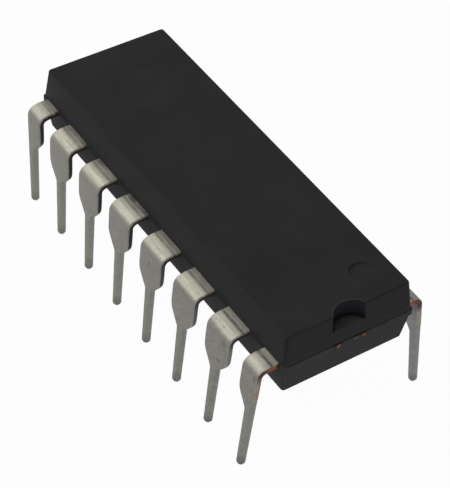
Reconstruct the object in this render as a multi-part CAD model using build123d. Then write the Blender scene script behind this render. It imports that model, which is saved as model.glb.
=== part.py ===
from build123d import *
import os
from math import radians, tan

# Sixteen-lead plastic dual in-line package, all sizes in millimetres.
# The frame stands on the lead tips: +Z is up, +X runs along the body away from the
# index notch, and +Y points at the row of leads 9 to 16.

# Lead grid
LEADS_PER_ROW = 8
PITCH = 2.54

# Moulded body, measured from the middle plane of the leads
END_MARGIN = 0.60
BODY_WIDTH = 6.28
UPPER_HEIGHT = 1.60
LOWER_HEIGHT = 1.52
UPPER_DRAFT = 6.0
LOWER_DRAFT = 8.0
PARTING_LEDGE = 0.05
CORNER_RADIUS = 0.15
RIM_RADIUS = 0.07

# Marks left by the mould: index notch, lead 1 dimple, ejector pin marks underneath
NOTCH_RADIUS = 0.83
NOTCH_CENTRE_OUT = 0.13
NOTCH_DEPTH = 0.78
DIMPLE_RADIUS = 0.56
DIMPLE_DEPTH = 0.07
DIMPLE_FROM_END = 1.64
DIMPLE_FROM_SIDE = 1.50
EJECTOR_RADIUS = 0.75
EJECTOR_DEPTH = 0.05
EJECTOR_FROM_END = 2.80
MARK_WALL_RUN = 0.05

# Leads outside the body
LEAD_THICKNESS = 0.25
SHOULDER_WIDTH = 1.52
SHANK_WIDTH = 0.43
TIP_WIDTH = 0.32
CORNER_EDGE = 0.23
BEND_INNER_RADIUS = 0.19
STANDOFF = 0.62
SHANK_LENGTH = 3.15
TAPER_HEIGHT = 0.70
TAPER_TOP_RADIUS = 0.75
TAPER_FOOT_RADIUS = 0.12
TIP_RADIUS = 0.15
TIP_EDGE_RADIUS = 0.09

# Reach of the flat shoulder and outward lean of the shanks, as formed in each row
LOW_ROW_EXIT = 0.31
HIGH_ROW_EXIT = 0.51
LOW_ROW_SPLAY = 5.5
HIGH_ROW_SPLAY_FAR_END = 0.7
HIGH_ROW_SPLAY_NOTCH_END = 5.3

# Leadframe inside the body
ROOT_DEPTH = 0.45
FINGER_WIDTH = 0.36
FINGER_GAP = 0.25
SIDE_TIPS = 2
SIDE_TIP_SPACING = 1.05
SIDE_KNEE_RISE = 0.80
END_TIP_SPACING = 0.61
END_TIP_RUN = 1.10
END_KNEE_RISE = 1.15
TIP_STRAIGHT = 0.30
PADDLE_MARGIN = 0.55
TIE_BAR_WIDTH = 0.70
TIE_LEG_LENGTH = 0.90
TIE_LEG_OFFSET = 0.54
SLIM_LEG_WIDTH = 0.45
WIDE_LEG_WIDTH = 0.65
CROSS_BAR_WIDTH = 0.40

# Die, its adhesive and the bond wires
DIE_LENGTH = 2.20
DIE_WIDTH = 1.80
DIE_HEIGHT = 0.30
ADHESIVE_HEIGHT = 0.025
ADHESIVE_MARGIN = 0.06
BOND_PAD_INSET = 0.12
BOND_PAD_SPACING = 0.50
BALL_RADIUS = 0.045
BALL_HEIGHT = 0.02
WIRE_RADIUS = 0.015
WIRE_SIDES = 8
LOOP_RISE = 0.20
STITCH_INSET = 0.18

# Places worked out from the sizes above
row_length = (LEADS_PER_ROW - 1) * PITCH
body_length = row_length + 2 * END_MARGIN
half_length = body_length / 2
half_width = BODY_WIDTH / 2
half_sheet = LEAD_THICKNESS / 2
foot_plane = SHANK_LENGTH
under_plane = foot_plane + STANDOFF
lead_plane = under_plane + LOWER_HEIGHT
top_plane = lead_plane + UPPER_HEIGHT
sheet_under = lead_plane - half_sheet
sheet_top = lead_plane + half_sheet
bend_radius = BEND_INNER_RADIUS + half_sheet
paddle_length = DIE_LENGTH + 2 * PADDLE_MARGIN
paddle_width = DIE_WIDTH + 2 * PADDLE_MARGIN
die_base = sheet_top + ADHESIVE_HEIGHT
die_top = die_base + DIE_HEIGHT
first_run = TIE_BAR_WIDTH / 2 + FINGER_GAP + FINGER_WIDTH / 2


def rounded_plate(length, width, height):
    """A level rectangle with the body's plan corners, at a height."""
    return Plane.XY.offset(height) * RectangleRounded(length, width, CORNER_RADIUS)


def drafted_half(start, face, draft):
    """One half of the moulding, from the parting band to its flat face."""
    shrink = PARTING_LEDGE + abs(face - start) * tan(radians(draft))
    base = rounded_plate(body_length - 2 * PARTING_LEDGE, BODY_WIDTH - 2 * PARTING_LEDGE, start)
    flat = rounded_plate(body_length - 2 * shrink, BODY_WIDTH - 2 * shrink, face)
    half = loft([base, flat], ruled=True)
    rim = half.edges().filter_by_position(Axis.Z, face, face)
    return fillet(rim, RIM_RADIUS)


def round_mark(x, y, face, depth, radius):
    """A shallow round recess with a sloping wall; depth is signed along Z from the face."""
    mouth = Plane.XY.offset(face) * Pos(x, y) * Circle(radius)
    floor = Plane.XY.offset(face + depth) * Pos(x, y) * Circle(radius - MARK_WALL_RUN)
    return loft([mouth, floor], ruled=True)


def body_blank():
    """The moulding before room is made in it for the leadframe."""
    blank = extrude(rounded_plate(body_length, BODY_WIDTH, sheet_under), LEAD_THICKNESS)
    blank += drafted_half(sheet_top, top_plane, UPPER_DRAFT)
    blank += drafted_half(sheet_under, under_plane, LOWER_DRAFT)
    notch_floor = Pos(-half_length - NOTCH_CENTRE_OUT, 0, top_plane - NOTCH_DEPTH)
    blank -= notch_floor * extrude(Circle(NOTCH_RADIUS), 2 * NOTCH_DEPTH)
    dimple_x = DIMPLE_FROM_END - half_length
    dimple_y = DIMPLE_FROM_SIDE - half_width
    blank -= round_mark(dimple_x, dimple_y, top_plane, -DIMPLE_DEPTH, DIMPLE_RADIUS)
    ejector_x = half_length - EJECTOR_FROM_END
    for x in (-ejector_x, ejector_x):
        blank -= round_mark(x, 0, under_plane, EJECTOR_DEPTH, EJECTOR_RADIUS)
    return blank


def lead_outline(x, half_far, half_near):
    """A lead seen square to its row, with its own reach towards +X and -X.

    A shoulder steps in to the shank. The outer edge of a corner lead runs straight to the tip.
    """
    half_tip = TIP_WIDTH / 2
    half_shank = SHANK_WIDTH / 2
    shoulder_foot = foot_plane + TAPER_HEIGHT
    above = lead_plane + LEAD_THICKNESS
    points = []
    radii = []
    for sign, half in ((1, half_far), (-1, half_near)):
        side = [((sign * half_tip, 0), TIP_RADIUS)]
        if half > CORNER_EDGE:
            side.append(((sign * half_shank, foot_plane), TAPER_FOOT_RADIUS))
            side.append(((sign * half, shoulder_foot), TAPER_TOP_RADIUS))
        else:
            side.append(((sign * half, shoulder_foot), 0))
        side.append(((sign * half, above), 0))
        ordered = side if sign > 0 else side[::-1]
        points += [point for point, radius in ordered]
        radii += [radius for point, radius in ordered]
    outline = make_face(FilletPolyline(*points, radius=radii, close=True))
    return Plane.XZ * Pos(x, 0) * outline


def formed_strip(exit_length, splay):
    """The lead's strip seen along the row: out of the body, round the bend and down to its tip."""
    turn = radians(90 - splay)
    knee = half_width + exit_length + bend_radius * tan(turn / 2)
    tip = knee + lead_plane * tan(radians(splay))
    middle = FilletPolyline((half_width, lead_plane), (knee, lead_plane), (tip, 0), radius=bend_radius)
    strip = trace(middle, LEAD_THICKNESS)
    tip_corners = strip.vertices().sort_by(Axis.Y)[:2]
    return Plane.YZ * fillet(tip_corners, TIP_EDGE_RADIUS)


def finger_route(x):
    """Middle line of the leadframe finger of the lead at x, on the +Y side, tip last."""
    side = 1 if x > 0 else -1
    from_middle = round(abs(x) / PITCH - 0.5)
    from_end = LEADS_PER_ROW // 2 - 1 - from_middle
    if from_middle < SIDE_TIPS:
        tip_x = side * SIDE_TIP_SPACING * (from_middle + 0.5)
        tip_y = paddle_width / 2 + FINGER_GAP
        knee = tip_y + SIDE_KNEE_RISE
        return [(x, half_width), (x, knee), (tip_x, tip_y + TIP_STRAIGHT), (tip_x, tip_y)]
    run = first_run + from_end * END_TIP_SPACING
    tip_x = paddle_length / 2 + FINGER_GAP
    knee = run + END_KNEE_RISE
    return [(x, half_width), (x, knee), (side * (tip_x + END_TIP_RUN), run), (side * tip_x, run)]


def make_lead(x, exit_length, splay):
    """The lead at x on the +Y side: formed outer strip, shoulder and shank, root and inner finger."""
    half_shoulder = SHOULDER_WIDTH / 2
    row_end = row_length / 2 + PITCH / 2
    half_far = CORNER_EDGE if x + PITCH > row_end else half_shoulder
    half_near = CORNER_EDGE if x - PITCH < -row_end else half_shoulder
    reach = BODY_WIDTH + lead_plane
    strip = extrude(Pos(x, 0, 0) * formed_strip(exit_length, splay), SHOULDER_WIDTH, both=True)
    stamp = extrude(lead_outline(x, half_far, half_near), reach, both=True)
    outer = strip & stamp
    root = Pos(x + (half_far - half_near) / 2, half_width - ROOT_DEPTH / 2) * Rectangle(
        half_far + half_near, ROOT_DEPTH
    )
    finger = trace(Polyline(*finger_route(x)), FINGER_WIDTH)
    inner = extrude(Plane.XY.offset(sheet_under) * (root + finger), LEAD_THICKNESS)
    return outer + inner


def make_paddle():
    """Die paddle with a tie bar at each end, which splits into two legs cut off at the end faces."""
    sheet = Rectangle(paddle_length, paddle_width)
    leg_inner = half_length - TIE_LEG_LENGTH
    bar_length = leg_inner + CROSS_BAR_WIDTH
    slim_edge = TIE_LEG_OFFSET + SLIM_LEG_WIDTH / 2
    wide_edge = TIE_LEG_OFFSET + WIDE_LEG_WIDTH / 2
    for end in (-1, 1):
        sheet += Pos(end * leg_inner / 2, 0) * Rectangle(leg_inner, TIE_BAR_WIDTH)
        cross_x = end * (leg_inner - CROSS_BAR_WIDTH / 2)
        cross_y = -end * (slim_edge - wide_edge) / 2
        sheet += Pos(cross_x, cross_y) * Rectangle(CROSS_BAR_WIDTH, slim_edge + wide_edge)
        leg_x = end * (half_length - TIE_LEG_LENGTH / 2)
        sheet += Pos(leg_x, -end * TIE_LEG_OFFSET) * Rectangle(TIE_LEG_LENGTH, SLIM_LEG_WIDTH)
        sheet += Pos(leg_x, end * TIE_LEG_OFFSET) * Rectangle(TIE_LEG_LENGTH, WIDE_LEG_WIDTH)
    return extrude(Plane.XY.offset(sheet_under) * sheet, LEAD_THICKNESS)


def make_wire(x):
    """Gold ball, loop and stitch between the die and the finger of the +Y lead at x."""
    side = 1 if x > 0 else -1
    from_middle = round(abs(x) / PITCH - 0.5)
    from_end = LEADS_PER_ROW // 2 - 1 - from_middle
    tip_x, tip_y = finger_route(x)[-1]
    if from_middle < SIDE_TIPS:
        pad_x = side * BOND_PAD_SPACING * (from_middle + 0.5)
        pad_y = DIE_WIDTH / 2 - BOND_PAD_INSET
        tip_y += STITCH_INSET
    else:
        pad_x = side * (DIE_LENGTH / 2 - BOND_PAD_INSET)
        pad_y = BOND_PAD_SPACING * (from_end + 0.5) / 2
        tip_x += side * STITCH_INSET
    high = die_top + BALL_HEIGHT + LOOP_RISE
    crest = (pad_x + (tip_x - pad_x) / 3, pad_y + (tip_y - pad_y) / 3, high)
    route = Polyline((pad_x, pad_y, die_top), (pad_x, pad_y, high), crest, (tip_x, tip_y, sheet_top))
    section = Plane((pad_x, pad_y, die_top)) * RegularPolygon(WIRE_RADIUS, WIRE_SIDES)
    wire = sweep(section, path=route, transition=Transition.RIGHT)
    ball = Plane((pad_x, pad_y, die_top)) * RegularPolygon(BALL_RADIUS, WIRE_SIDES)
    wire += extrude(ball, BALL_HEIGHT)
    return wire & Pos(0, 0, sheet_top) * Box(
        body_length, BODY_WIDTH, 2 * UPPER_HEIGHT, align=(Align.CENTER, Align.CENTER, Align.MIN)
    )


def save(name, solid):
    """Write one node of the model."""
    export_step(solid, "parts/" + name + ".step")


os.makedirs("parts", exist_ok=True)

leads = {}
wires = {}
for low_number in range(1, LEADS_PER_ROW + 1):
    high_number = 2 * LEADS_PER_ROW + 1 - low_number
    x = (low_number - 1) * PITCH - row_length / 2
    share = (low_number - 1) / (LEADS_PER_ROW - 1)
    splay = HIGH_ROW_SPLAY_NOTCH_END + (HIGH_ROW_SPLAY_FAR_END - HIGH_ROW_SPLAY_NOTCH_END) * share
    leads[high_number] = make_lead(x, HIGH_ROW_EXIT, splay)
    leads[low_number] = mirror(make_lead(x, LOW_ROW_EXIT, LOW_ROW_SPLAY), about=Plane.XZ)
    wires[high_number] = make_wire(x)
    wires[low_number] = mirror(wires[high_number], about=Plane.XZ)

paddle = make_paddle()
adhesive = Pos(0, 0, sheet_top + ADHESIVE_HEIGHT / 2) * Box(
    DIE_LENGTH + 2 * ADHESIVE_MARGIN, DIE_WIDTH + 2 * ADHESIVE_MARGIN, ADHESIVE_HEIGHT
)
die = Pos(0, 0, die_base + DIE_HEIGHT / 2) * Box(DIE_LENGTH, DIE_WIDTH, DIE_HEIGHT)

inside = [paddle, adhesive, die] + list(leads.values()) + list(wires.values())
body = body_blank() - inside

save("moulded_body", body)
save("die_paddle", paddle)
save("die_adhesive", adhesive)
save("die", die)
for number in sorted(leads):
    save(f"lead_{number:02d}", leads[number])
    save(f"bond_wire_{number:02d}", wires[number])
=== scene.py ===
import math

import bmesh
import bpy
from bpy.props import FloatProperty, FloatVectorProperty, IntProperty, PointerProperty
from mathutils import Euler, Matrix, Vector


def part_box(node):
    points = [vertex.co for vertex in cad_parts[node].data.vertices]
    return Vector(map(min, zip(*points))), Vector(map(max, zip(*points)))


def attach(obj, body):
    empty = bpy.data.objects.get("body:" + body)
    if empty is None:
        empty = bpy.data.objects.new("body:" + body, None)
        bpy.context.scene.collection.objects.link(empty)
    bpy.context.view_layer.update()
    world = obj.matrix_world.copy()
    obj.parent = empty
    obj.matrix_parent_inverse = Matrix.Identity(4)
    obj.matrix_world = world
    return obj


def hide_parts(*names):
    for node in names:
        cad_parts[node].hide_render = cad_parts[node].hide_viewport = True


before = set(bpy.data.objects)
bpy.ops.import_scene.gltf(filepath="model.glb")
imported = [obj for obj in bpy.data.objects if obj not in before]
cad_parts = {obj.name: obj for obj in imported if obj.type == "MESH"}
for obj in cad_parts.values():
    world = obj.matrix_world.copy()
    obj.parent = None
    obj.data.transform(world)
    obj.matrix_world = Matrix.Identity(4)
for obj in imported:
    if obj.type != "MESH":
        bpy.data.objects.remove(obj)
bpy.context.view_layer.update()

bl_info = {
    "name": "Dual in-line chip finish",
    "version": (1, 0, 0),
    "blender": (4, 5, 0),
    "location": "3D View > Sidebar > Chip",
    "description": "Dresses a moulded sixteen-lead chip: epoxy, plated leads, leadframe and studio",
    "category": "Object",
}

MM = 0.001
LEADS_PER_ROW = 8
PITCH = 2.54 * MM


def lead_number(row, place):
    """Lead number at a place along the row, counted from the notch; row is 1 for leads 9 to 16."""
    return 2 * LEADS_PER_ROW - place if row > 0 else place + 1


# Node trees written as arithmetic


class Signal:
    """A socket that takes part in Python arithmetic, in a shader or a geometry tree."""

    def __init__(self, tree, socket):
        self.tree = tree
        self.socket = socket

    def math(self, operation, *others):
        """A Math node on this signal and the others."""
        return self.tree.add("ShaderNodeMath", {"operation": operation}, [self, *others]).out(0)

    def __add__(self, other):
        return self.math("ADD", other)

    def __radd__(self, other):
        return self.math("ADD", other)

    def __sub__(self, other):
        return self.math("SUBTRACT", other)

    def __rsub__(self, other):
        return self.tree.add("ShaderNodeMath", {"operation": "SUBTRACT"}, [other, self]).out(0)

    def __mul__(self, other):
        return self.math("MULTIPLY", other)

    def __rmul__(self, other):
        return self.math("MULTIPLY", other)

    def __truediv__(self, other):
        return self.math("DIVIDE", other)

    def __abs__(self):
        return self.math("ABSOLUTE")

    def at_least(self, other):
        """The greater of the two signals."""
        return self.math("MAXIMUM", other)

    def at_most(self, other):
        """The smaller of the two signals."""
        return self.math("MINIMUM", other)

    def above(self, edge):
        """1 where the signal is over the edge."""
        return self.math("GREATER_THAN", edge)

    def between(self, low, high):
        """The signal kept between two limits."""
        return self.at_least(low).at_most(high)

    def bell(self):
        """1 where the signal is 0, fading evenly on both sides."""
        return (0 - self * self).math("EXPONENT")

    def ramp(self, start, end):
        """0 at start and 1 at end, with soft shoulders."""
        node = self.tree.add(
            "ShaderNodeMapRange",
            {"interpolation_type": "SMOOTHSTEP"},
            {"Value": self, "From Min": start, "From Max": end},
        )
        return node.out("Result")


class Block:
    """One node, with its outputs given as signals."""

    def __init__(self, tree, node):
        self.tree = tree
        self.node = node

    def out(self, key):
        """The signal of one output."""
        return Signal(self.tree, self.node.outputs[key])


class Tree:
    """A node tree that is built by adding blocks."""

    def __init__(self, nodes):
        self.nodes = nodes

    def add(self, kind, settings=None, sockets=()):
        """Adds a node; settings are set first, then its sockets get values or links."""
        node = self.nodes.nodes.new(kind)
        for name, value in (settings or {}).items():
            setattr(node, name, value)
        pairs = sockets.items() if isinstance(sockets, dict) else enumerate(sockets)
        for key, value in pairs:
            self.plug(node.inputs[key], value)
        return Block(self, node)

    def plug(self, socket, value):
        """Links a signal to a socket, or sets the socket's own value."""
        if isinstance(value, Signal):
            self.nodes.links.new(value.socket, socket)
        else:
            socket.default_value = value

    def mix(self, factor, first, second):
        """A colour between two colours."""
        node = self.nodes.nodes.new("ShaderNodeMix")
        node.data_type = "RGBA"
        for key, value in ((0, factor), (6, first), (7, second)):
            self.plug(node.inputs[key], value)
        return Signal(self, node.outputs[2])

    def choose(self, switch, off, on):
        """The first value where the switch is 0 and the second where it is 1."""
        return off + (on - off) * switch

    def noise(self, scale, detail=2.0, roughness=0.5, vector=None):
        """Noise on object coordinates; scale is in cells for each metre."""
        where = vector or self.add("ShaderNodeTexCoord").out("Object")
        sockets = {"Vector": where, "Scale": scale, "Detail": detail, "Roughness": roughness}
        return self.add("ShaderNodeTexNoise", None, sockets).out("Fac")


class Shader(Tree):
    """A material whose surface is one Principled shader."""

    def __init__(self, name, **constants):
        self.material = bpy.data.materials.new(name)
        self.material.use_nodes = True
        super().__init__(self.material.node_tree)
        self.surface = self.nodes.nodes["Principled BSDF"]
        for key, value in constants.items():
            self.surface.inputs[key.replace("_", " ")].default_value = value

    def feed(self, key, value):
        """Gives the surface's socket a signal."""
        self.plug(self.surface.inputs[key], value)

    def bump(self, height, distance, strength=1.0, under=None):
        """Surface relief from a height signal; distance is in metres."""
        sockets = {"Height": height, "Distance": distance, "Strength": strength}
        if under:
            sockets["Normal"] = under
        return self.add("ShaderNodeBump", None, sockets).out("Normal")

    def position(self):
        """Object coordinates, each axis as its own signal."""
        where = self.add("ShaderNodeTexCoord").out("Object")
        return [self.add("ShaderNodeSeparateXYZ", None, [where]).out(axis) for axis in "XYZ"]

    def facing(self):
        """The surface's own normal, each axis as its own signal."""
        normal = self.add("ShaderNodeTexCoord").out("Normal")
        return [self.add("ShaderNodeSeparateXYZ", None, [normal]).out(axis) for axis in "XYZ"]


# Settings that a user would change


def length(name, text, millimetres):
    """A length property, stored in metres."""
    return FloatProperty(name=name, description=text, default=millimetres * MM, unit="LENGTH", precision=6)


def colour(name, text, red, green, blue):
    """A colour property."""
    return FloatVectorProperty(
        name=name, description=text, default=(red, green, blue), subtype="COLOR", min=0.0, max=1.0
    )


def share(name, text, value):
    """A property between 0 and 1."""
    return FloatProperty(name=name, description=text, default=value, subtype="FACTOR", min=0.0, max=1.0)


def angle(name, text, degrees):
    """An angle property, stored in radians."""
    return FloatProperty(name=name, description=text, default=math.radians(degrees), subtype="ANGLE")


def location(name, text, x, y, z):
    """A location property, in metres."""
    return FloatVectorProperty(
        name=name, description=text, default=(x, y, z), subtype="TRANSLATION", unit="LENGTH"
    )


def power(name, text, watts):
    """A lamp power property."""
    return FloatProperty(name=name, description=text, default=watts, unit="POWER")


class MouldingSettings(bpy.types.PropertyGroup):
    """Finish of the epoxy body."""

    colour: colour("Epoxy", "Colour of the filled epoxy", 0.0160, 0.0161, 0.0165)
    hue: colour("Clouding", "Second colour of the epoxy where its filler is uneven", 0.0182, 0.0162, 0.0192)
    edge_round: length("Edge round", "Radius left on the moulding's sharp edges", 0.025)
    grain: length("Grain", "Size of the eroded grain of the mould", 0.06)
    grain_depth: length("Grain depth", "Height of that grain", 0.0014)


class LeadSettings(bpy.types.PropertyGroup):
    """Form and finish of the leads outside the body."""

    plating: colour("Plating", "Dull tin on the upright faces", 0.268, 0.260, 0.236)
    # The next two colours are painted highlights of the tin: over the bend, and on the slope beside the
    # wall
    bend_highlight: colour("Highlight", "Tin rubbed brighter over the bend", 0.405, 0.388, 0.335)
    slope_highlight: colour("Shelf", "Tin on the gentle slope beside the wall", 0.69, 0.665, 0.56)
    copper: colour("Copper", "Bare copper at the sheared edges", 0.29, 0.110, 0.058)
    tarnish: colour("Tarnish", "Oxidised copper at the sheared edges", 0.016, 0.009, 0.012)
    thickness: length("Thickness", "Leadframe sheet with its plating", 0.28)
    build_up: length("Build up", "Extra plating that runs down and gathers on the shank", 0.06)
    shoulder: length("Shoulder", "Width of the shoulder", 1.55)
    shank: length("Shank", "Width of the shank at its top", 0.46)
    tip_width: length("Tip width", "Width of the shank at its tip", 0.36)
    corner_edge: length("Corner edge", "Reach of a corner lead's straight outer edge", 0.24)
    root: length("Root", "Length of the strip inside the wall", 0.15)
    crease: length("Crease", "Distance from the wall to the line that the forming tool leaves", 0.25)
    crease_depth: length("Crease depth", "Depth of that line", 0.003)
    crease_width: length("Crease width", "Width of that line", 0.058)
    mark_run: length("Mark run", "Distance from the wall to the forming tool's small marks", 1.02)
    mark_size: length("Mark size", "Size of those marks", 0.075)
    droop: angle("Droop", "Slope of the shoulder before the bend", 14.0)
    bend: length("Bend", "Bend radius at the middle of the sheet", 0.33)
    cad_bend: length("Nominal bend", "Bend radius of a lead whose shoulder has no droop", 0.315)
    low_exit: length("Low row exit", "Nominal flat run of leads 1 to 8", 0.31)
    high_exit: length("High row exit", "Nominal flat run of leads 9 to 16", 0.51)
    low_splay: angle("Low row splay", "Lean of leads 1 to 8", 5.5)
    high_splay_far: angle("Far splay", "Lean of lead 9", 0.7)
    high_splay_notch: angle("Notch splay", "Lean of lead 16", 5.3)
    foot: length("Foot", "Height where the taper ends", 3.15)
    taper: length("Taper", "Height of the taper", 0.70)
    taper_top: length("Taper top softness", "Softness where the shoulder meets the taper", 0.27)
    taper_foot: length("Taper foot softness", "Softness where the taper meets the shank", 0.08)
    tip: length("Tip", "Radius of the tip seen from outside", 0.165)
    tip_edge: length("Tip edge", "Radius of the tip seen along the row", 0.135)
    shoulder_round: length("Shoulder round", "Radius of the shoulder's stamped edges", 0.045)
    edge_round: length("Edge round", "Radius of the shank's plated edges", 0.13)
    rounding_start: length("Rounding start", "Run where the edges begin to round off", 1.4)
    rounding_end: length("Rounding end", "Run where the edges are fully rounded", 2.7)
    waves: length("Waves", "Unevenness of the plating", 0.012)
    rows: IntProperty(name="Rows", description="Sections along each lead", default=220, min=40)


class StageSettings(bpy.types.PropertyGroup):
    """Floor, lamps and camera."""

    floor: colour("Floor", "Floor colour", 0.66, 0.66, 0.66)
    room: share("Room light", "Strength of the even light all round", 0.42)
    white: share("White floor", "How far the floor shows as plain white", 0.97)
    floor_reach: length("Floor reach", "From the floor's middle to its edges", 600)
    key_at: location("Key place", "Place of the main lamp", 0.19, 0.15, 0.25)
    key_size: length("Key size", "Side of the main lamp", 260)
    key_power: power("Key power", "Power of the main lamp", 0.62)
    fill_at: location("Fill place", "Place of the fill lamp", -0.26, 0.10, 0.22)
    fill_size: length("Fill size", "Side of the fill lamp", 240)
    fill_power: power("Fill power", "Power of the fill lamp", 0.15)
    camera_at: location("Camera", "Place of the camera", -0.047127, 0.032408, 0.058739)
    camera_turn: FloatVectorProperty(
        name="Camera turn",
        description="Camera rotation",
        default=[math.radians(a) for a in (45.509, -2.0754, -122.874)],
        subtype="EULER",
    )
    focal: FloatProperty(
        name="Focal length", description="Lens in millimetres", default=137.53, unit="CAMERA"
    )


# Bright flecks on the sheared ends of the tie bars: place across the body, radius and colour
SHEARED_FLECKS = (
    (0.50 * MM, 0.11 * MM, (0.17, 0.070, 0.062)),
    (-0.36 * MM, 0.13 * MM, (0.045, 0.044, 0.027)),
    (-0.74 * MM, 0.13 * MM, (0.14, 0.050, 0.030)),
)

# Leads whose sheared edges show fresh copper beside the wall, and how strongly; the others show a trace
BARE_EDGES = {1: 1.6, 16: 1.0}
BARE_TRACE = 0.10

# Painted shade beside the wall grows from the notch end up to this place along the row
SHADOWING_FULL_AT = 4

# Small dark marks under the bend, by lead number: place across the lead; the others have theirs far off it
TOOL_MARKS = {15: -0.48 * MM, 16: -0.10 * MM}
NO_MARK = 10 * MM

# The index notch, as the moulding has it: radius, how far its centre lies outside the end, and depth
NOTCH_RADIUS = 0.83 * MM
NOTCH_CENTRE_OUT = 0.13 * MM
NOTCH_DEPTH = 0.78 * MM

# Painted shade in the fold at the foot of the notch's wall, and the dark tone on the leads for the forming
# tool's marks and for the painted shade along its crease and beside the wall
NOTCH_FOLD_SHADE = [0.0025, 0.0022, 0.0030, 1.0]
MARK_AND_SHADE_TONE = [0.105, 0.088, 0.098, 1.0]

# Gains on the epoxy's colour: painted shade at its rim, upper ends, lower half and notch wall, and the pale
# dust in its pores, whose gain also paints light on the notch floor
SHADE_GAINS = (0.52, 0.45, 0.62)
DUST_AND_LIGHT_GAIN = 2.2

# Unevenness of the plating, in cells for each metre, and facets in each rounded corner of a lead
WAVE_CELLS = 2600.0
CORNER_FACETS = 6

# Share of a lead's rows that lie evenly along it; the others crowd towards the wall and the tip
EVEN_ROWS = 0.25

# Meshes: distances under which points are one, and angles of flat and of sharp edges
MERGE_SOLID = 0.001 * MM
MERGE_STRIP = 0.0005 * MM
FLAT_EDGE = math.radians(0.5)
SHARP_EDGE = math.radians(22)


# Materials


def tinted(colour, red=1.0, green=None, blue=None):
    """A socket's colour: each channel times its own gain, or all three times the first gain."""
    gains = (red, red if green is None else green, red if blue is None else blue)
    return [channel * gain for channel, gain in zip(colour, gains)] + [1.0]


def moulding_material(settings):
    """Black filled epoxy with the fine grain of an eroded mould."""
    shader = Shader("moulded_epoxy", IOR=1.5, Specular_IOR_Level=0.16)
    grain = shader.noise(1 / settings.grain, 3.0, 0.62)
    clouds = shader.noise(420.0, 4.0, 0.6)
    hues = shader.noise(900.0, 2.0, 0.5)
    specks = shader.noise(0.45 / settings.grain, 1.0, 0.5).ramp(0.70, 0.80)
    tone = shader.mix(clouds.ramp(0.35, 0.7), tinted(settings.colour), tinted(settings.colour, 1.3))
    tone = shader.mix(hues.ramp(0.40, 0.72) * 0.6, tone, tinted(settings.hue))
    tone = shader.mix(specks * 0.4, tone, tinted(settings.colour, DUST_AND_LIGHT_GAIN))
    tone = parting_tone(shader, settings, hues, tone)
    tone = rim_and_notch_tone(shader, settings, tone)
    shader.feed("Base Color", tone)
    shader.feed("Roughness", 0.54 + grain * 0.14 + clouds * 0.08)
    shader.feed("Normal", shader.bump(grain, settings.grain_depth, 0.8))
    return shader.material


def parting_tone(shader, settings, hues, tone):
    """Painted shade on the lower half, the pale greenish flash of the parting line at the ends, and painted
    light along the ledge there that lifts the shade of its crease.
    """
    x, _, z = shader.position()
    upward = abs(shader.facing()[2])
    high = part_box("moulded_body")[1]
    band_low, band_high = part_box("die_paddle")
    # Painted shade: the lower half is darkened
    below = 1 - z.ramp(band_low.z - 0.10 * MM, band_low.z)
    tone = shader.mix(below * 0.62, tone, tinted(settings.colour, *SHADE_GAINS))

    over_bottom = z.ramp(band_low.z - 0.16 * MM, band_low.z + 0.02 * MM)
    over_top = z.ramp(band_high.z + 0.06 * MM, band_high.z + 0.16 * MM)
    at_end = abs(x).ramp(high.x - 0.30 * MM, high.x - 0.12 * MM)
    flash = over_bottom * (1 - over_top) * at_end * (0.15 + hues.ramp(0.45, 0.62) * 0.85)
    tone = shader.mix(flash * 0.8, tone, tinted(settings.colour, 1.75, 1.85, 1.5))

    # Painted light: the ledge at the ends is brightened where its crease is shaded
    ledge = ((z - band_high.z) / (0.06 * MM)).bell()
    ledge = ledge * (1 - upward.ramp(0.3, 0.9) * 0.5) * at_end
    return shader.mix(ledge * 0.9, tone, tinted(settings.colour, 2.8))


def rim_and_notch_tone(shader, settings, tone):
    """Painted shade on the walls towards the top rim and on the upper end faces; in the notch, painted
    shade on its smooth wall and in the fold at its foot, and painted light on its paler floor.
    """
    x, y, z = shader.position()
    endward, _, upward = (abs(axis) for axis in shader.facing())
    low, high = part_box("moulded_body")
    band_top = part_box("die_paddle")[1].z
    # Painted shade towards the top rim and on the upper half of the end faces
    rim = z.ramp(high.z - 1.1 * MM, high.z - 0.05 * MM) * (1 - upward.ramp(0.4, 0.8))
    upper_end = endward.ramp(0.5, 0.8) * z.ramp(band_top + 0.1 * MM, band_top + 0.4 * MM)

    out = x - (low.x - NOTCH_CENTRE_OUT)
    from_wall = (out * out + y * y).math("SQRT") - NOTCH_RADIUS
    floor_level = high.z - NOTCH_DEPTH
    inside = 1 - from_wall.ramp(0.03 * MM, 0.08 * MM)
    in_notch = inside * z.ramp(floor_level - 0.06 * MM, floor_level - 0.02 * MM)
    # Painted shade on the notch's wall and in the fold at its foot, and painted light on its floor
    on_wall = in_notch * from_wall.ramp(-0.05 * MM, -0.02 * MM) * (1 - upward.ramp(0.88, 0.98))
    near_floor = 1 - z.ramp(floor_level, floor_level + 0.10 * MM)
    fold = in_notch * from_wall.ramp(-0.22 * MM, -0.02 * MM) * near_floor
    on_floor = in_notch * upward.ramp(0.6, 0.9) * (1 - fold)

    shaded = (rim * 0.70).at_least(on_wall).at_least(upper_end * 0.50)
    tone = shader.mix(shaded, tone, tinted(settings.colour, *SHADE_GAINS))
    tone = shader.mix(fold * 0.9, tone, NOTCH_FOLD_SHADE)
    return shader.mix(on_floor * 0.6, tone, tinted(settings.colour, DUST_AND_LIGHT_GAIN))


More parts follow.
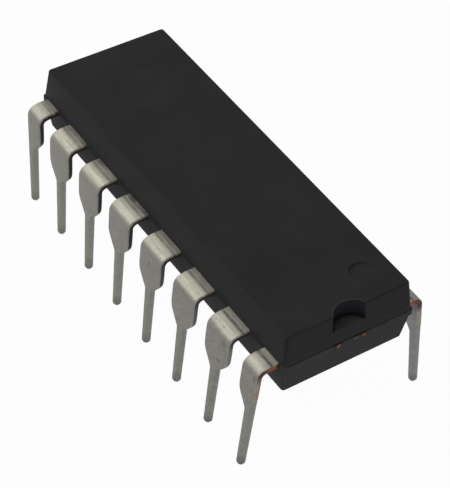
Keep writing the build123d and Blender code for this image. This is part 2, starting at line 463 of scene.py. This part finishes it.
class PlatingShader(Shader):
    """The plated leads' shader, with the attributes that say where on its lead a point lies.

    run is the distance from the wall in millimetres, bend goes from 0 on the flat to 1 on the upright,
    side is 1 on the sheared sides, inner goes from 0 on the outer face to 1 on the inner one, bare and
    shadowing are one value for each lead, and mark is the distance across from the tool's mark. Shadowing
    grows along the row from the notch end and sets how much painted shade and painted light a lead gets.
    """

    def __init__(self, settings):
        super().__init__("plated_lead")
        self.settings = settings
        for name in ("run", "bend", "side", "inner", "bare", "soot", "mark"):
            attribute = self.add("ShaderNodeAttribute", {"attribute_name": name})
            setattr(self, name, attribute.out("Fac"))
        self.x, self.y, self.height = self.position()
        self.grains = self.noise(14000.0, 3.0, 0.6)
        self.mottle = self.noise(5200.0, 4.0, 0.65)
        self.patches = self.noise(1500.0, 3.0, 0.6)
        self.smudges = self.noise(2300.0, 1.5, 0.5).ramp(0.68, 0.76)

    def tin(self):
        """Dull tin, with a painted highlight over the bend, a brighter one on the slope beside the wall,
        and painted shade on the inner face.
        """
        settings = self.settings
        # Painted highlights: over the bend, and brightest on the slope beside the wall
        lit = (1 - self.bend.ramp(0.42, 0.95)) * (1 - self.patches.ramp(0.4, 0.9) * 0.25)
        tone = self.mix(lit, tinted(settings.plating), tinted(settings.bend_highlight))
        tone = self.mix(1 - self.bend.ramp(0.05, 0.32), tone, tinted(settings.slope_highlight))
        # Painted shade: the inner face, turned to the body, is darker and bluer
        tone = self.mix(self.inner.ramp(0.7, 0.98) * 0.6, tone, tinted(settings.plating, 0.86, 0.90, 1.08))

        # Specks on the dull faces, thinned by painted light towards the far end, streaks on the painted
        # highlight over the bend, and dark tips
        along_row = self.add("ShaderNodeCombineXYZ", None, [self.x * 0.10, self.y, self.height]).out(0)
        streaks = self.noise(6500.0, 2.0, 0.5, along_row)
        mottled = self.mottle.ramp(0.25, 0.75)
        # Painted light towards the far end of the row, which thins the specks there
        far_light = self.x.ramp(-6.0 * MM, 9.0 * MM) * 0.75
        dull_shade = (mottled * 0.34 + self.grains.ramp(0.3, 0.7) * 0.16) * (1 - far_light)
        dull_shade = dull_shade + self.smudges * 0.4
        band_marks = mottled * 0.14 + streaks.ramp(0.30, 0.70) * 0.28 + self.smudges * 0.12
        shade = self.choose(lit, dull_shade, band_marks)
        shade = shade + (1 - self.height.ramp(0.05 * MM, 0.85 * MM)) * 0.55
        return self.mix(shade, tone, tinted(settings.plating, 0.45))

    def tool_marks(self, tone):
        """The forming tool's marks, with painted shade along its crease line and beside the wall of the
        leads with most shadowing.
        """
        settings = self.settings
        # Painted shade along the forming tool's shallow crease, weaker on the leads with more shadowing
        off_line = self.run - settings.crease / MM - (self.patches - 0.5) * 0.05
        line = (off_line / (settings.crease_width / MM)).bell() * (0.30 + self.mottle.ramp(0.3, 0.6) * 0.4)
        line = line * (1.2 - self.soot * 0.6)
        # Painted shade beside the wall, on the leads with most shadowing
        wall_shade = (1 - self.run.ramp(0.05, 0.26)) * (0.4 + self.patches.ramp(0.35, 0.65) * 0.6)
        wall_shade = wall_shade * self.soot * 0.85
        off_run = self.run - settings.mark_run / MM
        off_mark = (self.mark * self.mark + off_run * off_run * 0.5) / (settings.mark_size / MM) ** 2
        spot = (0 - off_mark).math("EXPONENT") * (1 - self.inner.ramp(0.2, 0.4)) * 0.8
        return self.mix(line.at_least(spot).at_least(wall_shade), tone, MARK_AND_SHADE_TONE)

    def sheared_sides(self, tone):
        """Sheared side faces; gives the tone, how far a face is bare metal, and how fresh its copper is."""
        settings = self.settings
        foot, taper = settings.foot, settings.taper
        upright = self.height.ramp(foot + taper * 0.75, foot + taper * 1.1)
        covered = self.inner + self.bare * 0.22 + (self.mottle - 0.5) * 0.2
        sheared = self.side.ramp(0.55, 0.95) * covered.ramp(0.26, 0.38) * upright
        sheared = sheared * (1 - self.run.ramp(0.75, 1.25) * (1 - self.soot) * 0.85)
        fresh = self.bare * (1 - self.run.ramp(0.10, 0.95)) * (0.35 + self.patches.ramp(0.30, 0.55) * 0.65)
        fresh = fresh.between(0.0, 1.0)

        # Past the bend a side gets painted light, less on the leads with more shadowing, and a lead that is
        # bare but not freshly cut is worn to copper there
        lit = self.side.ramp(0.45, 0.95) * (1 - self.soot * 0.65) * self.run.ramp(0.5, 1.0)
        tone = self.mix(lit * (upright * 0.55), tone, tinted(settings.plating, 1.5))
        worn = self.bare.ramp(0.5, 1.0) * (1 - self.bare.ramp(1.1, 1.5) * 0.8)
        worn = worn * self.side.ramp(0.6, 0.95) * upright * self.run.ramp(0.9, 1.2)
        tone = self.mix(worn * self.patches.ramp(0.30, 0.60) * 0.7, tone, tinted(settings.copper))
        cut = self.mix(fresh, tinted(settings.tarnish), tinted(settings.copper))
        return self.mix(sheared, tone, cut), sheared, fresh


def plating_material(settings):
    """Dull tin over copper, with painted highlights over the bend and beside the wall; the sheared sides
    are bare and darkened.
    """
    shader = PlatingShader(settings)
    tone, sheared, fresh = shader.sheared_sides(shader.tool_marks(shader.tin()))
    roughness = 0.46 + shader.mottle * 0.10 + shader.grains * 0.06 + sheared * 0.10 + shader.smudges * 0.08
    shader.feed("Base Color", tone)
    shader.feed("Metallic", 1 - sheared * (1 - fresh) * 0.7)
    shader.feed("Roughness", roughness)
    mottled = shader.bump(shader.mottle, 0.0035 * MM, 0.7)
    shader.feed("Normal", shader.bump(shader.grains, 0.0012 * MM, 0.8, mottled))
    return shader.material


def copper_material():
    """Leadframe copper: its cut ends are smeared dark, with a few bright flecks."""
    shader = Shader("bare_copper", Metallic=1.0)
    streaks = shader.noise(9000.0, 3.0, 0.6)
    patches = shader.noise(2600.0, 2.0, 0.5)
    x, y, z = shader.position()
    low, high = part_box("die_paddle")
    bright, brown = [0.50, 0.25, 0.14, 1.0], [0.16, 0.10, 0.05, 1.0]
    dark_smear, light_smear = [0.016, 0.012, 0.009, 1.0], [0.034, 0.029, 0.018, 1.0]
    at_end = abs(x).ramp(high.x - 0.12 * MM, high.x - 0.06 * MM)
    smeared = shader.mix(streaks.ramp(0.4, 0.7), dark_smear, light_smear)
    tone = shader.mix(at_end, shader.mix(patches.ramp(0.35, 0.65), bright, brown), smeared)
    for place, reach, fleck in SHEARED_FLECKS:
        off_y = y - place + (patches - 0.5) * 0.25 * MM
        off_z = z - (low.z + high.z) / 2 + (streaks - 0.5) * 0.20 * MM
        away = (off_y * off_y + off_z * off_z).math("SQRT") / reach
        tone = shader.mix(at_end * (1 - (away + streaks * 0.7).ramp(0.7, 1.4)), tone, tinted(fleck))
    shader.feed("Base Color", tone)
    shader.feed("Roughness", 0.42 + streaks * 0.25)
    shader.feed("Normal", shader.bump(streaks, 0.006 * MM, 0.8))
    return shader.material


def adhesive_material():
    """Silver-filled die adhesive."""
    shader = Shader("die_adhesive", Metallic=0.35)
    flakes = shader.noise(30000.0, 2.0, 0.6)
    shader.feed("Base Color", shader.mix(flakes, [0.42, 0.42, 0.40, 1.0], [0.70, 0.70, 0.66, 1.0]))
    shader.feed("Roughness", 0.40 + flakes * 0.3)
    return shader.material


def silicon_material():
    """Polished silicon with a faint circuit grid of plain blocks."""
    shader = Shader("silicon_die", Metallic=0.55)
    where = shader.add("ShaderNodeTexCoord").out("Object")
    blue, violet = [0.16, 0.17, 0.22, 1.0], [0.22, 0.20, 0.24, 1.0]
    grid = {"Vector": where, "Scale": 9000.0, "Color1": blue, "Color2": violet}
    shader.feed("Base Color", shader.add("ShaderNodeTexBrick", None, grid).out("Color"))
    shader.feed("Roughness", 0.16 + shader.noise(20000.0) * 0.1)
    return shader.material


def gold_material():
    """Bright drawn gold wire."""
    shader = Shader("gold_wire", Metallic=1.0)
    drawn = shader.noise(60000.0, 2.0, 0.5)
    shader.feed("Base Color", shader.mix(drawn, [0.92, 0.66, 0.24, 1.0], [0.80, 0.53, 0.17, 1.0]))
    shader.feed("Roughness", 0.18 + drawn * 0.12)
    return shader.material


def floor_material(settings):
    """Pale floor: white to the camera, with the object's soft shadow left on it."""
    shader = Shader("floor", Roughness=0.9, Specular_IOR_Level=0.0)
    clouds = shader.noise(60.0, 2.0, 0.5)
    shader.feed("Base Color", shader.mix(clouds, tinted(settings.floor), tinted(settings.floor, 0.985)))
    glow = shader.add("ShaderNodeEmission", None, {"Color": [1.0, 1.0, 1.0, 1.0], "Strength": 1.0})
    paths = shader.add("ShaderNodeLightPath")
    mirrored = paths.out("Is Glossy Ray").at_least(paths.out("Is Transmission Ray"))
    seen = paths.out("Is Camera Ray").at_least(mirrored) * settings.white
    blend = shader.add("ShaderNodeMixShader", None, [seen])
    links = shader.nodes.links
    links.new(shader.surface.outputs[0], blend.node.inputs[1])
    links.new(glow.node.outputs[0], blend.node.inputs[2])
    links.new(blend.node.outputs[0], shader.nodes.nodes["Material Output"].inputs["Surface"])
    return shader.material


# Meshes


def piece(name, mesh, material, nodes):
    """A finished piece at the origin, which stands for CAD nodes on the one body."""
    mesh.name = name
    obj = bpy.data.objects.new(name, mesh)
    bpy.context.scene.collection.objects.link(obj)
    mesh.materials.clear()
    mesh.materials.append(material)
    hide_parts(*nodes)
    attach(obj, "root")
    return obj


def finished(obj):
    """The object's mesh with its modifiers applied; the object itself is removed."""
    graph = bpy.context.evaluated_depsgraph_get()
    mesh = bpy.data.meshes.new_from_object(obj.evaluated_get(graph))
    bpy.data.objects.remove(obj)
    return mesh


def working_object(name, mesh):
    """An object that only holds a mesh while its modifiers run."""
    obj = bpy.data.objects.new(name, mesh)
    bpy.context.scene.collection.objects.link(obj)
    return obj


def clean_copy(node):
    """The CAD node's mesh as a bmesh with doubles merged and flat facets joined."""
    work = bmesh.new()
    work.from_mesh(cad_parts[node].data)
    bmesh.ops.remove_doubles(work, verts=work.verts, dist=MERGE_SOLID)
    bmesh.ops.dissolve_limit(work, angle_limit=FLAT_EDGE, verts=work.verts, edges=work.edges)
    return work


def modified(mesh, name, *steps):
    """The mesh after a row of modifiers, each a kind and its settings."""
    obj = working_object(name, mesh)
    for kind, settings in steps:
        modifier = obj.modifiers.new(kind.title(), kind)
        for key, value in settings.items():
            setattr(modifier, key, value)
    return finished(obj)


# Leads


def lead_inputs():
    """Named inputs of the lead's tree and their kinds."""
    numbers = (
        "Place", "Wall", "Lead Plane", "Root", "Total", "Crease", "Crease Depth", "Crease Width",
        "Droop", "Droop Radius", "Bend Start", "Bend Radius", "Turn", "Thickness", "Shoulder",
        "Far Half", "Near Half", "Shank Half", "Tip Half", "Corner Edge", "Foot", "Taper",
        "Taper Top", "Taper Foot", "Tip", "Tip Edge", "Build Up", "Shoulder Round", "Edge Round",
        "Rounding Start", "Rounding End", "Waves", "Side", "Seed", "Bare", "Soot", "Mark",
    )
    return [(name, "NodeSocketFloat") for name in numbers] + [
        ("Rows", "NodeSocketInt"),
        ("Material", "NodeSocketMaterial"),
    ]


def captured(tree, geometry, name, kind, field):
    """Geometry that carries a field's value from here on, and that value."""
    block = tree.add("GeometryNodeCaptureAttribute", {"domain": "POINT"})
    block.node.capture_items.new(kind, name)
    tree.plug(block.node.inputs["Geometry"], geometry)
    tree.plug(block.node.inputs[name], field)
    return block.out("Geometry"), block.out(name)


def formed_centre(given, run):
    """Reach, height and lean of the sheet's middle: flat, a slight droop, the bend and a straight fall."""
    droop, droop_radius = given.out("Droop"), given.out("Droop Radius")
    radius, turn = given.out("Bend Radius"), given.out("Turn")
    drooped = ((run - given.out("Crease")) / droop_radius).between(0.0, droop)
    bent = (droop + (run - given.out("Bend Start")) / radius).between(droop, turn)
    fall = (run - given.out("Bend Start") - radius * (turn - droop)).at_least(0.0)
    reach = run.at_most(given.out("Crease")) + droop_radius * drooped.math("SINE")
    reach = reach + radius * (bent.math("SINE") - droop.math("SINE")) + fall * turn.math("COSINE")
    height = given.out("Lead Plane") - droop_radius * (1 - drooped.math("COSINE"))
    height = height - radius * (droop.math("COSINE") - bent.math("COSINE")) - fall * turn.math("SINE")
    return reach, height, drooped + bent - droop


def stamped_half_width(tree, given, across, height):
    """Half width of shoulder, taper and shank; a corner lead's outer edge is straight."""
    half = tree.choose(across.above(0.0), given.out("Near Half"), given.out("Far Half"))
    foot, shank, tip_half = given.out("Foot"), given.out("Shank Half"), given.out("Tip Half")
    down = (height / foot).between(0.0, 1.0)
    narrow = tip_half + (shank - tip_half) * down
    slope = shank + (half - shank) * (height - foot) / given.out("Taper")
    stepped = slope.math("SMOOTH_MIN", half, given.out("Taper Top"))
    stepped = stepped.math("SMOOTH_MAX", narrow, given.out("Taper Foot"))
    along_edge = (height / (foot + given.out("Taper"))).between(0.0, 1.0)
    straight = tip_half + (given.out("Corner Edge") - tip_half) * along_edge
    return tree.choose(half.above(given.out("Corner Edge")), straight, stepped)


def rounded_inset(left, radius):
    """How far a rounded end draws in; left is the way still to go to the end, in radii."""
    ending = (1 - left).between(0.0, 1.0)
    return radius * (1 - (1 - ending * ending).math("SQRT"))


def lead_tree():
    """A strip swept along the formed centre line, whose sides follow the stamped outline."""
    group = bpy.data.node_groups.new("Formed lead", "GeometryNodeTree")
    for name, kind in lead_inputs():
        group.interface.new_socket(name=name, in_out="INPUT", socket_type=kind)
    group.interface.new_socket(name="Geometry", in_out="OUTPUT", socket_type="NodeSocketGeometry")
    tree = Tree(group)
    given = tree.add("NodeGroupInput")

    # Rounded section and straight path, each carrying its own coordinates
    section = tree.add(
        "GeometryNodeCurvePrimitiveQuadrilateral",
        {"mode": "RECTANGLE"},
        {"Width": given.out("Shoulder"), "Height": given.out("Thickness")},
    ).out("Curve")
    rounded = tree.add(
        "GeometryNodeFilletCurve",
        {"mode": "POLY"},
        {"Curve": section, "Count": CORNER_FACETS, "Radius": given.out("Edge Round")},
    ).out("Curve")
    position = tree.add("GeometryNodeInputPosition").out(0)
    rounded, spot = captured(tree, rounded, "spot", "VECTOR", position)
    line = tree.add("GeometryNodeCurvePrimitiveLine", None, {"End": (10 * MM, 0.0, 0.0)}).out("Curve")
    divided = {"Curve": line, "Count": given.out("Rows")}
    path = tree.add("GeometryNodeResampleCurve", None, divided).out("Curve")
    parameter = tree.add("GeometryNodeSplineParameter").out("Factor")
    path, factor = captured(tree, path, "factor", "FLOAT", parameter)
    strip = tree.add(
        "GeometryNodeCurveToMesh", None, {"Curve": path, "Profile Curve": rounded, "Fill Caps": True}
    ).out("Mesh")
    axes = tree.add("ShaderNodeSeparateXYZ", None, [spot])
    across, through = axes.out("X"), axes.out("Y")

    # Distance along the strip, with more rows near the wall and at the tip
    total = given.out("Total")
    eased = factor * factor * (3 - 2 * factor)
    run = (total + given.out("Root")) * (factor * EVEN_ROWS + eased * (1 - EVEN_ROWS)) - given.out("Root")

    # Stamped edges at the shoulder, which round off where the plating gathers on the shank
    half_wide, half_thick = given.out("Shoulder") * 0.5, given.out("Thickness") * 0.5
    edge_round = given.out("Edge Round")
    gathered = run.ramp(given.out("Rounding Start"), given.out("Rounding End"))
    corner = tree.choose(gathered, given.out("Shoulder Round"), edge_round)
    core_wide, core_thick = half_wide - edge_round, half_thick - edge_round
    core_x = across.between(0 - core_wide, core_wide)
    core_y = through.between(0 - core_thick, core_thick)
    out_x = (across - core_x) / edge_round
    out_y = (through - core_y) / edge_round
    across = core_x * (half_wide - corner) / core_wide + corner * out_x
    through = core_y * (half_thick - corner) / core_thick + corner * out_y
    through = through * (1 + gathered * given.out("Build Up") / given.out("Thickness"))

    # Formed centre line, stamped outline and rounded tip
    reach, height, lean = formed_centre(given, run)
    wide = stamped_half_width(tree, given, across, height)
    tip_inset = rounded_inset(height / given.out("Tip"), given.out("Tip"))
    edge_inset = rounded_inset((total - run) / given.out("Tip Edge"), given.out("Tip Edge"))

    # Crease left by the forming tool on the outer face, and the plating's unevenness
    off_crease = (run - given.out("Crease")) / given.out("Crease Width")
    crease = given.out("Crease Depth") * off_crease.bell() * through.above(0.0)
    place = tree.add("ShaderNodeCombineXYZ", None, [across, run, through]).out(0)
    uneven = tree.add(
        "ShaderNodeTexNoise",
        {"noise_dimensions": "4D"},
        {"Vector": place, "W": given.out("Seed"), "Scale": WAVE_CELLS, "Detail": 1.0},
    ).out("Fac")
    skin = through * (1 - (edge_inset + crease - (uneven - 0.5) * given.out("Waves")) / half_thick)
    side = across - across.math("SIGN") * (half_wide - wide + tip_inset)

    sine = lean.math("SINE")
    where = tree.add(
        "ShaderNodeCombineXYZ",
        None,
        [
            given.out("Place") + side,
            given.out("Side") * (given.out("Wall") + reach + skin * sine),
            height + skin * lean.math("COSINE"),
        ],
    ).out(0)
    shaped = tree.add("GeometryNodeSetPosition", None, {"Geometry": strip, "Position": where}).out(0)
    stored = {
        "run": run / MM,
        "bend": lean / given.out("Turn"),
        "side": abs(out_x),
        "inner": 0.5 - through / given.out("Thickness"),
        "bare": given.out("Bare"),
        "soot": given.out("Soot"),
        "mark": (side - given.out("Mark")) / MM,
    }
    for name, field in stored.items():
        shaped = tree.add(
            "GeometryNodeStoreNamedAttribute",
            {"data_type": "FLOAT", "domain": "POINT"},
            {"Geometry": shaped, "Name": name, "Value": field},
        ).out(0)
    smooth = tree.add("GeometryNodeSetShadeSmooth", None, {"Geometry": shaped}).out(0)
    real = tree.add("GeometryNodeRealizeInstances", None, {"Geometry": smooth}).out(0)
    dressed = tree.add(
        "GeometryNodeSetMaterial", None, {"Geometry": real, "Material": given.out("Material")}
    ).out(0)
    tree.add("NodeGroupOutput", None, [dressed])
    return group


def inner_finger(node, row, wall):
    """The part of a CAD lead that lies inside the body, as a bmesh with its cut closed."""
    work = clean_copy(node)
    everything = work.verts[:] + work.edges[:] + work.faces[:]
    cut = bmesh.ops.bisect_plane(
        work, geom=everything, plane_co=(0, row * wall, 0), plane_no=(0, row, 0), clear_outer=True
    )
    edges = [e for e in cut["geom_cut"] if isinstance(e, bmesh.types.BMEdge)]
    bmesh.ops.holes_fill(work, edges=edges)
    return work


def formed_line(settings, lead_plane, row, place):
    """Sizes of a lead's formed centre line, whose upright part stands where the plain lead's does."""
    along = place / (LEADS_PER_ROW - 1)
    high_splay = settings.high_splay_notch + (settings.high_splay_far - settings.high_splay_notch) * along
    turn = math.pi / 2 - (high_splay if row > 0 else settings.low_splay)
    nominal_exit = settings.high_exit if row > 0 else settings.low_exit
    upright = nominal_exit + settings.cad_bend * math.sin(turn)
    bend_reach = settings.bend * (math.sin(turn) - math.sin(settings.droop))
    droop_radius = (upright - settings.crease - bend_reach) / math.sin(settings.droop)
    bend_start = settings.crease + droop_radius * settings.droop
    drop = droop_radius * (1 - math.cos(settings.droop))
    drop += settings.bend * (math.cos(settings.droop) - math.cos(turn))
    fall = (lead_plane - drop) / math.sin(turn)
    return {
        "Droop Radius": droop_radius,
        "Bend Start": bend_start,
        "Turn": turn,
        "Total": bend_start + settings.bend * (turn - settings.droop) + fall,
    }


def make_lead(group, settings, material, row, place):
    """One plated lead: the swept strip outside the wall, joined to the finger inside it."""
    number = lead_number(row, place)
    node = f"lead_{number:02d}"
    paddle_low, paddle_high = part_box("die_paddle")
    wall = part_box("moulded_body")[1].y
    lead_plane = (paddle_low.z + paddle_high.z) / 2
    values = {
        "Place": (place - (LEADS_PER_ROW - 1) / 2) * PITCH,
        "Wall": wall,
        "Lead Plane": lead_plane,
        "Far Half": settings.corner_edge if place == LEADS_PER_ROW - 1 else settings.shoulder / 2,
        "Near Half": settings.corner_edge if place == 0 else settings.shoulder / 2,
        "Shank Half": settings.shank / 2,
        "Tip Half": settings.tip_width / 2,
        "Bend Radius": settings.bend,
        "Side": float(row),
        "Seed": float(number),
        "Bare": BARE_EDGES.get(number, BARE_TRACE),
        "Soot": min(1.0, place / SHADOWING_FULL_AT),
        "Mark": TOOL_MARKS.get(number, NO_MARK),
        "Material": material,
        **formed_line(settings, lead_plane, row, place),
    }
    holder = working_object("strip", bpy.data.meshes.new("strip"))
    modifier = holder.modifiers.new("Formed lead", "NODES")
    modifier.node_group = group
    for item in group.interface.items_tree:
        if item.in_out == "INPUT":
            setting = item.name.lower().replace(" ", "_")
            given = values[item.name] if item.name in values else getattr(settings, setting)
            modifier[item.identifier] = given
    strip = finished(holder)
    work = bmesh.new()
    work.from_mesh(strip)
    bmesh.ops.remove_doubles(work, verts=work.verts, dist=MERGE_STRIP)
    bmesh.ops.recalc_face_normals(work, faces=work.faces)
    finger = inner_finger(node, row, wall - settings.root)
    finger_mesh = bpy.data.meshes.new("finger")
    finger.to_mesh(finger_mesh)
    finger.free()
    work.from_mesh(finger_mesh)
    work.to_mesh(strip)
    work.free()
    mesh = modified(strip, "lead", ("WEIGHTED_NORMAL", {"keep_sharp": True}))
    return piece(f"plated_{node}", mesh, material, [node])


# Operators


class CHIP_OT_finish_moulding(bpy.types.Operator):
    """Finishes the epoxy body: softened edges and eroded grain"""

    bl_idname = "chip.finish_moulding"
    bl_label = "Finish moulding"

    def execute(self, context):
        settings = context.scene.chip_moulding
        work = clean_copy("moulded_body")
        low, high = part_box("moulded_body")
        band_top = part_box("die_paddle")[1].z
        cover = 0.45 * MM

        def hidden(corner):
            """Whether a corner lies in the cavity that the leadframe fills."""
            inside = abs(corner.x) < high.x - cover and abs(corner.y) < high.y - cover
            return inside and low.z + cover < corner.z < band_top + cover

        weights = work.edges.layers.float.new("bevel_weight_edge")
        for edge in work.edges:
            sharp = len(edge.link_faces) == 2 and edge.calc_face_angle() >= SHARP_EDGE
            if sharp and not any(hidden(vertex.co) for vertex in edge.verts):
                edge[weights] = 1.0
        mesh = bpy.data.meshes.new("moulding")
        for face in work.faces:
            face.smooth = True
        work.to_mesh(mesh)
        work.free()
        rounding = {"limit_method": "WEIGHT", "width": settings.edge_round, "segments": 3}
        mesh = modified(mesh, "moulding", ("BEVEL", rounding), ("WEIGHTED_NORMAL", {"keep_sharp": True}))
        piece("finished_moulding", mesh, moulding_material(settings), ["moulded_body"])
        return {"FINISHED"}


class CHIP_OT_finish_leads(bpy.types.Operator):
    """Forms and plates the sixteen leads"""

    bl_idname = "chip.finish_leads"
    bl_label = "Finish leads"

    def execute(self, context):
        settings = context.scene.chip_leads
        material = plating_material(settings)
        group = lead_tree()
        for row in (1, -1):
            for place in range(LEADS_PER_ROW):
                make_lead(group, settings, material, row, place)
        return {"FINISHED"}


class CHIP_OT_finish_inside(bpy.types.Operator):
    """Gives the paddle, adhesive, die and bond wires their materials"""

    bl_idname = "chip.finish_inside"
    bl_label = "Finish inside"

    def execute(self, context):
        gold = gold_material()
        inside = {
            "die_paddle": (copper_material(), "bare_copper"),
            "die_adhesive": (adhesive_material(), "adhesive"),
            "die": (silicon_material(), "silicon"),
        }
        for number in range(1, 2 * LEADS_PER_ROW + 1):
            inside[f"bond_wire_{number:02d}"] = (gold, "gold_wire")
        for node, (material, slot) in inside.items():
            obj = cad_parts[node]
            obj.data.materials.clear()
            obj.data.materials.append(material)
        return {"FINISHED"}


class CHIP_OT_set_stage(bpy.types.Operator):
    """Lays the floor and sets the lamps and the camera"""

    bl_idname = "chip.set_stage"
    bl_label = "Set stage"

    def execute(self, context):
        settings = context.scene.chip_stage
        scene = context.scene
        scene.view_settings.view_transform = "Standard"
        floor_mesh = bpy.data.meshes.new("floor")
        half = settings.floor_reach
        corners = [(-half, -half, 0), (half, -half, 0), (half, half, 0), (-half, half, 0)]
        floor_mesh.from_pydata(corners, [], [(0, 1, 2, 3)])
        floor = working_object("floor", floor_mesh)
        floor_mesh.materials.append(floor_material(settings))
        world = bpy.data.worlds.new("studio")
        scene.world = world
        world.use_nodes = True
        room = Tree(world.node_tree)
        background = room.nodes.nodes["Background"]
        seen = room.add("ShaderNodeLightPath").out("Is Camera Ray")
        room.plug(background.inputs["Strength"], settings.room + seen * (1 - settings.room))
        background.inputs["Color"].default_value = (1, 1, 1, 1)
        self.lamp("key_lamp", settings.key_at, settings.key_size, settings.key_power)
        self.lamp("fill_lamp", settings.fill_at, settings.fill_size, settings.fill_power)
        camera = bpy.data.cameras.new("camera")
        camera.lens = settings.focal
        camera.clip_start = 1 * MM
        viewer = bpy.data.objects.new("camera", camera)
        scene.collection.objects.link(viewer)
        viewer.location = settings.camera_at
        viewer.rotation_euler = Euler(settings.camera_turn, "XYZ")
        scene.camera = viewer
        return {"FINISHED"}

    def lamp(self, name, place, size, power):
        """A soft square lamp that looks at the chip."""
        data = bpy.data.lights.new(name, "AREA")
        data.size = size
        data.energy = power
        lamp = bpy.data.objects.new(name, data)
        bpy.context.scene.collection.objects.link(lamp)
        lamp.location = place
        lamp.rotation_euler = (-Vector(place)).to_track_quat("-Z", "Y").to_euler()


class CHIP_PT_finish(bpy.types.Panel):
    """The chip's finishing steps in order"""

    bl_idname = "CHIP_PT_finish"
    bl_label = "Chip finish"
    bl_space_type = "VIEW_3D"
    bl_region_type = "UI"
    bl_category = "Chip"

    def draw(self, context):
        for step in STEPS:
            self.layout.operator(step.bl_idname)


STEPS = (CHIP_OT_finish_moulding, CHIP_OT_finish_leads, CHIP_OT_finish_inside, CHIP_OT_set_stage)
SETTINGS = {"chip_moulding": MouldingSettings, "chip_leads": LeadSettings, "chip_stage": StageSettings}


def register():
    """Adds the settings, the steps and the panel to Blender."""
    for kind in (*SETTINGS.values(), *STEPS, CHIP_PT_finish):
        bpy.utils.register_class(kind)
    for name, kind in SETTINGS.items():
        setattr(bpy.types.Scene, name, PointerProperty(type=kind))


def unregister():
    """Takes them away again."""
    for name in SETTINGS:
        delattr(bpy.types.Scene, name)
    for kind in reversed((*SETTINGS.values(), *STEPS, CHIP_PT_finish)):
        bpy.utils.unregister_class(kind)


def main():
    """Runs every step."""
    register()
    bpy.ops.chip.finish_moulding()
    bpy.ops.chip.finish_leads()
    bpy.ops.chip.finish_inside()
    bpy.ops.chip.set_stage()


if __name__ == "__main__":
    main()
